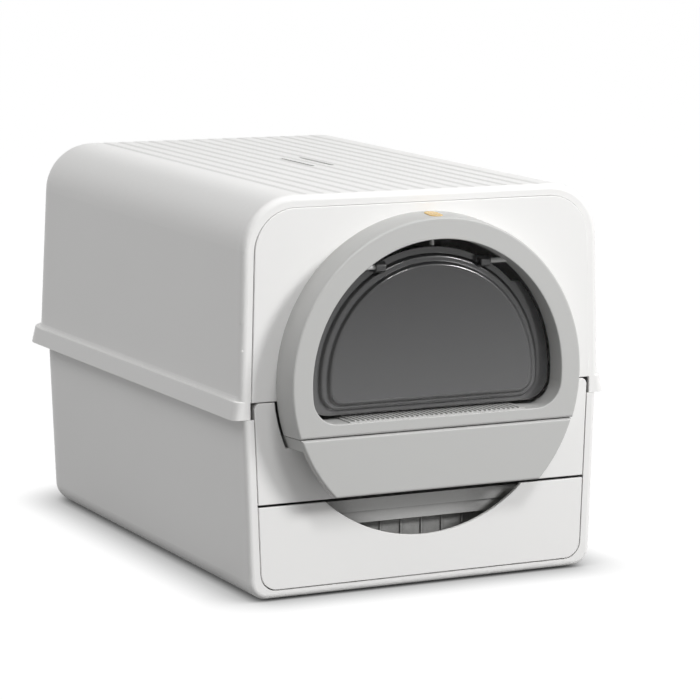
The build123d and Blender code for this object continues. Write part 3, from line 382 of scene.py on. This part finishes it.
def speckled(name, dark, light, roughness, scale, depth, metallic=0.0):
    """A material whose noise changes its colour, its gloss and its surface together."""
    material, tree, shader, place = start_material(name)
    shader.inputs["Metallic"].default_value = metallic
    grain = use_group(tree, grain_tree, place, Grain_Scale=scale, Cloud_Scale=scale / CLOUD_RATIO)
    wear = use_group(tree, wear_tree, place, Radius=FINE_EDGE, Patch_Scale=FINE_PATCHES)
    ground = mix_colours(tree, grain.outputs["Clouding"], dark, light)
    coloured = mix_colours(tree, wear.outputs["Mask"], ground, shade(light, SPECK_WORN))
    wire(tree, coloured, shader.inputs["Base Color"])
    gloss = add_node(tree, "ShaderNodeMapRange", From_Min=NOISE_LOW, From_Max=NOISE_HIGH,
                     To_Min=roughness * SPECK_POLISHED, To_Max=roughness * SPECK_DULL)
    wire(tree, grain.outputs["Height"], gloss.inputs["Value"])
    wire(tree, gloss.outputs["Result"], shader.inputs["Roughness"])
    bump = add_node(tree, "ShaderNodeBump", Strength=SPECK_STRENGTH, Distance=depth)
    wire(tree, grain.outputs["Height"], bump.inputs["Height"])
    wire(tree, bump.outputs["Normal"], shader.inputs["Normal"])
    return material, shader


print("speckled material ready")

# %% Small materials
amber_plastic, amber_shader = speckled(
    "amber_plastic", dark=(0.56, 0.34, 0.07), light=(0.72, 0.5, 0.16),
    roughness=0.25, scale=700.0, depth=0.00003,
)
amber_shader.inputs["Subsurface Weight"].default_value = 0.3
amber_shader.inputs["Subsurface Radius"].default_value = (0.003, 0.002, 0.001)
foot_rubber, _ = speckled(
    "foot_rubber", dark=(0.028, 0.028, 0.028), light=(0.05, 0.05, 0.05),
    roughness=0.8, scale=1200.0, depth=0.0001,
)
screw_steel, _ = speckled(
    "screw_steel", dark=(0.5, 0.5, 0.49), light=(0.64, 0.64, 0.63),
    roughness=0.3, scale=2600.0, depth=0.00003, metallic=1.0,
)
charcoal_felt, felt_shader = speckled(
    "charcoal_felt", dark=(0.018, 0.018, 0.02), light=(0.05, 0.05, 0.055),
    roughness=0.9, scale=900.0, depth=0.0005,
)
felt_shader.inputs["Sheen Weight"].default_value = 0.4
print("small:", amber_plastic.name, foot_rubber.name, screw_steel.name, charcoal_felt.name)

# %% [markdown]
# ## Dressing the pieces
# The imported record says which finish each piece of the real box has. The pieces could be
# dressed one by one, but a loop that looks each finish up can't forget a piece. A CAD piece
# keeps its mesh and its place: only its material slots change.

# %% Give each node its material
finishes = {
    "white_shell": white_shell, "ring_plastic": ring_plastic, "pan_plastic": pan_plastic,
    "pin_plastic": pin_plastic, "smoke_window": smoke_window, "amber_plastic": amber_plastic,
    "foot_rubber": foot_rubber, "screw_steel": screw_steel, "charcoal_felt": charcoal_felt,
}
for part in frame["record"]["subparts"]:
    finish = finishes[part["material_slot"]]
    node = nodes[part["node"]]
    if not node.material_slots:
        node.data.materials.append(finish)
    for material_slot in node.material_slots:
        material_slot.material = finish

# %% [markdown]
# ## The filter pad
# Under the vents hangs a pad of charcoal felt. It is soft, so its plain solid is replaced by
# a pad of its own: a block that is subdivided, its outer faces pinched a little, and its
# edges rounded by a subdivision surface. A cloth simulation would swell it like a cushion,
# but pressed felt stays flat, so it is modelled directly. It lies parallel to the roof, which
# rises gently to the back.

# %% Filter pad
pad_size = (0.0586, 0.1226, 0.0074)
roof_rise = 0.012
roof_run = 0.5786
pad_cuts = 8
edge_pinch = 0.93
rim_begins = 0.499  # share of the width or length from the middle; the outer faces lie at 0.5
smooth_below = math.radians(50)

pad_low, pad_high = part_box("charcoal_pad")
bpy.ops.object.select_all(action="DESELECT")
bpy.ops.mesh.primitive_cube_add(size=1.0, location=(0.0, 0.0, 0.0))
filter_pad = bpy.context.active_object
filter_pad.name = "filter_pad"
filter_pad.scale = pad_size
bpy.ops.object.transform_apply(location=False, rotation=False, scale=True)
bpy.ops.object.mode_set(mode="EDIT")
bpy.ops.mesh.select_all(action="SELECT")
bpy.ops.mesh.subdivide(number_cuts=pad_cuts)
bpy.ops.object.mode_set(mode="OBJECT")
for vertex in filter_pad.data.vertices:
    share_out = max(abs(vertex.co.x) / pad_size[0], abs(vertex.co.y) / pad_size[1])
    vertex.select = share_out > rim_begins
bpy.ops.object.mode_set(mode="EDIT")
bpy.ops.transform.resize(value=(1.0, 1.0, edge_pinch))
bpy.ops.object.mode_set(mode="OBJECT")
rounding = filter_pad.modifiers.new("rounding", "SUBSURF")
rounding.levels = rounding.render_levels = 1
bpy.ops.object.modifier_apply(modifier=rounding.name)
bpy.ops.object.shade_smooth_by_angle(angle=smooth_below)
filter_pad.location = (pad_low + pad_high) / 2
filter_pad.rotation_euler = (math.atan(roof_rise / roof_run), 0.0, 0.0)
bpy.ops.object.transform_apply(location=True, rotation=True, scale=True)
filter_pad.data.materials.clear()
filter_pad.data.materials.append(charcoal_felt)
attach(filter_pad, "hood")
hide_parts("charcoal_pad")
print("filter pad faces", len(filter_pad.data.polygons))

# %% [markdown]
# ## Studio
# The photograph has a pure white ground and hardly any shadow, yet the box isn't overlit: its
# left side is a clear mid grey. Stronger lamps would whiten both. So the floor glows white
# only where it is looked at, plainly, in a reflection or through the window, which the Light
# Path node tells. To all other light it is a dull paper, and the lamps stay at a plain level.
# Near the box, ambient occlusion dims that glow: a painted contact shadow.

# %% Helper for rays that look
def looked_at(tree):
    """One for a ray that looks, straight, mirrored or through the window, and else nought."""
    rays = tree.nodes.new("ShaderNodeLightPath")
    total = rays.outputs["Is Camera Ray"]
    for ray in ("Is Glossy Ray", "Is Transmission Ray"):
        either = add_node(tree, "ShaderNodeMath", operation="ADD", use_clamp=True)
        wire(tree, total, either.inputs[0])
        wire(tree, rays.outputs[ray], either.inputs[1])
        total = either.outputs["Value"]
    return total


print("helper for rays that look ready")

# %% Floor
floor_size = 30.0
paper_share = 0.9  # how much of the floor's look is plain white paper, and not its shadow
paper_glow = 1.1
paper_bounce = 0.3  # what the floor throws back on the box
# How far from the box the painted contact shadow reaches.
painted_shadow_reach = 0.05

bpy.ops.object.select_all(action="DESELECT")
bpy.ops.mesh.primitive_plane_add(size=floor_size, location=(0.0, 0.0, 0.0))
floor = bpy.context.active_object
floor.name = "studio_floor"
paper = bpy.data.materials.new("studio_paper")
paper.use_nodes = True
tree = paper.node_tree
tree.nodes.clear()
output = tree.nodes.new("ShaderNodeOutputMaterial")
matt = add_node(tree, "ShaderNodeBsdfDiffuse", Color=(paper_bounce, paper_bounce, paper_bounce, 1.0))
glow = add_node(tree, "ShaderNodeEmission")
# Painted contact shadow: ambient occlusion dims the floor's glow near and under the box.
painted_contact_shadow = add_node(tree, "ShaderNodeAmbientOcclusion", Distance=painted_shadow_reach)
brightness = add_node(tree, "ShaderNodeMath", operation="MULTIPLY")
brightness.inputs[1].default_value = paper_glow
share = add_node(tree, "ShaderNodeMath", operation="MULTIPLY")
share.inputs[1].default_value = paper_share
blend = tree.nodes.new("ShaderNodeMixShader")
wire(tree, looked_at(tree), share.inputs[0])
wire(tree, painted_contact_shadow.outputs["AO"], brightness.inputs[0])
wire(tree, brightness.outputs["Value"], glow.inputs["Strength"])
wire(tree, share.outputs[0], blend.inputs[0])
wire(tree, matt.outputs[0], blend.inputs[1])
wire(tree, glow.outputs[0], blend.inputs[2])
wire(tree, blend.outputs[0], output.inputs["Surface"])
floor.data.materials.append(paper)
print("floor", floor.name)

# %% [markdown]
# ## The world
# In a studio the walls throw a little light back from all sides. The world stands for them,
# and it is dim, so that the hollow behind the half-moon and the inside of the ring stay dark.
# A dim world would also make a grey ground behind the box, so rays that look get white, by
# the same helper as the floor.

# %% World
fill_level = 0.3

world = bpy.data.worlds.new("studio_world")
bpy.context.scene.world = world
world.use_nodes = True
tree = world.node_tree
tree.nodes.clear()
output = tree.nodes.new("ShaderNodeOutputWorld")
fill = add_node(tree, "ShaderNodeBackground", Strength=fill_level)
white = add_node(tree, "ShaderNodeBackground", Strength=1.0)
for background in (fill, white):
    background.inputs["Color"].default_value = (1.0, 1.0, 1.0, 1.0)
blend = tree.nodes.new("ShaderNodeMixShader")
wire(tree, looked_at(tree), blend.inputs[0])
wire(tree, fill.outputs[0], blend.inputs[1])
wire(tree, white.outputs[0], blend.inputs[2])
wire(tree, blend.outputs[0], output.inputs["Surface"])
print("world fill", fill_level)

# %% [markdown]
# ## Three lamps
# The key lamp stands to the right of the front and throws the ring's soft shadow to the left.
# A big softbox high over the left side lights the roof and its rounded shoulder, and grazes
# the left wall, so the hood comes out lighter than the base below it. The third lamp is small
# and stands in front, half way up. It is meant for the flap: its mirror image along the raised
# steps of the window should give the white arcs near the top, which are thinner here than in
# the photograph. Each lamp is placed by its direction and distance from the middle of the box,
# because then its distance can change without its shadow turning.

# %% Lamps
box_middle = Vector((0.0, 0.0, 0.2))


def soft_lamp(name, direction, distance, size, power):
    """A square area lamp that looks at the middle of the box."""
    towards = Vector(direction).normalized()
    data = bpy.data.lights.new(name, "AREA")
    data.shape = "SQUARE"
    data.size = size
    data.energy = power
    lamp = bpy.data.objects.new(name, data)
    lamp.location = box_middle + towards * distance
    lamp.rotation_euler = towards.to_track_quat("Z", "Y").to_euler()
    bpy.context.scene.collection.objects.link(lamp)
    return lamp


lamps = [
    soft_lamp("key_lamp", direction=(0.64, -0.7, 0.43), distance=6.0, size=1.2, power=214.0),
    soft_lamp("left_softbox", direction=(-0.57, -0.05, 0.82), distance=5.0, size=2.5, power=63.0),
    soft_lamp("window_glint", direction=(0.1, -0.72, 0.68), distance=3.0, size=0.6, power=22.0),
]
bpy.context.scene.view_settings.view_transform = "Standard"
print("lamps:", [lamp.name for lamp in lamps])
